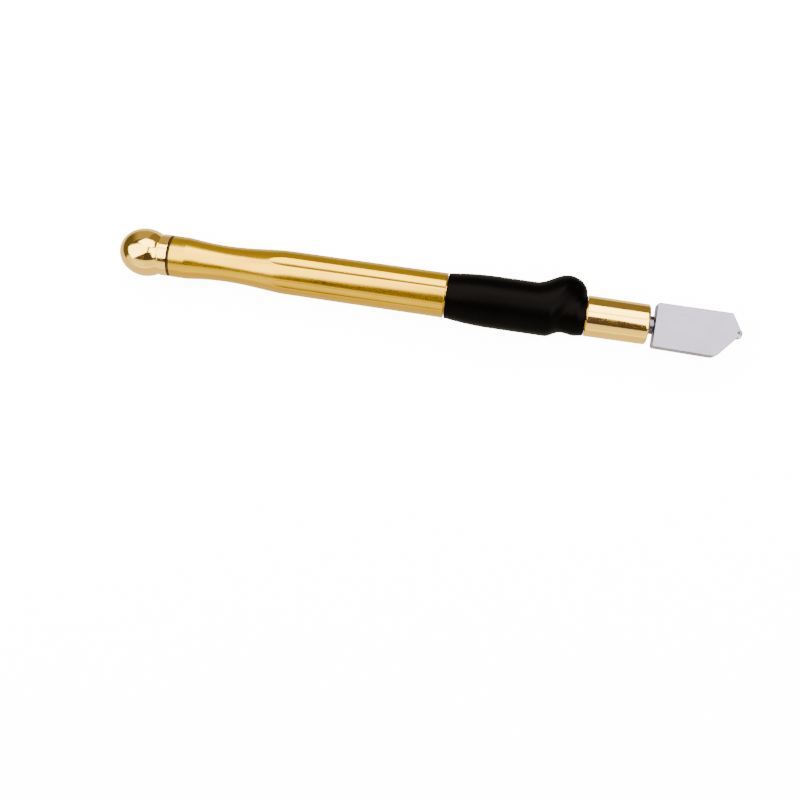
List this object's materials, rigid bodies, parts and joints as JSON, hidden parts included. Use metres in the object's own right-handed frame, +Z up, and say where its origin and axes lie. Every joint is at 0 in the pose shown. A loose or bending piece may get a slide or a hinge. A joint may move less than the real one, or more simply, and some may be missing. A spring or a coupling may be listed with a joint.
{
  "type": "glass cutter",
  "caption": "Pencil-grip oil-fed glass cutter with a screw-on ball cap, a rubber finger grip and a swivelling, spring-loaded wheel head.",
  "frame": {"origin": "middle of the box's bottom face, with the tool lying on its side: half-way along its length, on the surface that the grip rests on", "axes": "+X along the tool from the ball cap to the cutting wheel, +Y towards the finger hump of the grip, +Z up, square to the flat head"},
  "size_m": [0.18, 0.0182, 0.015],
  "materials": {
    "polished_brass": "mirror polished, pale champagne",
    "gold_anodised": "polished and anodised yellow gold",
    "grip_rubber": "moulded satin black",
    "seal_rubber": "smooth nitrile",
    "bright_steel": "turned bright steel",
    "satin_steel": "fine blasted satin with worn edges",
    "carbide": "ground tungsten carbide",
    "felt": "pressed wool felt"
  },
  "bodies": {
    "handle": {"barrel": "gold_anodised", "grip_sleeve": "grip_rubber", "nose_collar": "polished_brass", "seat_gasket": "seal_rubber", "valve_seat": "polished_brass", "seat_o_ring": "seal_rubber", "valve_spring": "bright_steel", "swivel_bush": "polished_brass", "bush_snap_ring": "bright_steel"},
    "cap_seal": {"cap_o_ring": "seal_rubber"},
    "cap": {"ball_cap": "polished_brass"},
    "valve": {"check_ball": "bright_steel", "push_pin": "bright_steel"},
    "head": {"head_stem": "bright_steel", "stem_o_ring": "seal_rubber", "stop_pin": "bright_steel", "oil_wick": "felt", "head_plate": "satin_steel", "wheel_axle": "bright_steel"},
    "wheel": {"cutting_wheel": "carbide"}
  },
  "joints": [
    {"name": "cap_travel", "type": "slide", "parent": "handle", "child": "cap_seal", "axis": [-1, 0, 0], "range_m": [0, 0.006]},
    {"name": "cap_turn", "type": "hinge", "parent": "cap_seal", "child": "cap", "pos_m": [-0.0749, -0.0016, 0.0075], "axis": [-1, 0, 0], "range_deg": [0, 2165]},
    {"name": "head_press", "type": "slide", "parent": "handle", "child": "valve", "axis": [-1, 0, 0], "range_m": [0, 0.0008], "stiffness_N_per_m": 1500, "springref_m": -0.0013, "deforming": ["valve_spring"]},
    {"name": "head_swivel", "type": "hinge", "parent": "valve", "child": "head", "pos_m": [0.0597, -0.0016, 0.0075], "axis": [1, 0, 0], "range_deg": [-15, 15]},
    {"name": "wheel_spin", "type": "hinge", "parent": "head", "child": "wheel", "pos_m": [0.08835, -0.0006, 0.0075], "axis": [0, 0, 1], "continuous": true}
  ],
  "couplings": [
    {"joint": "cap_turn", "follows": "cap_travel", "rad_per_m": 6283.2}
  ]
}
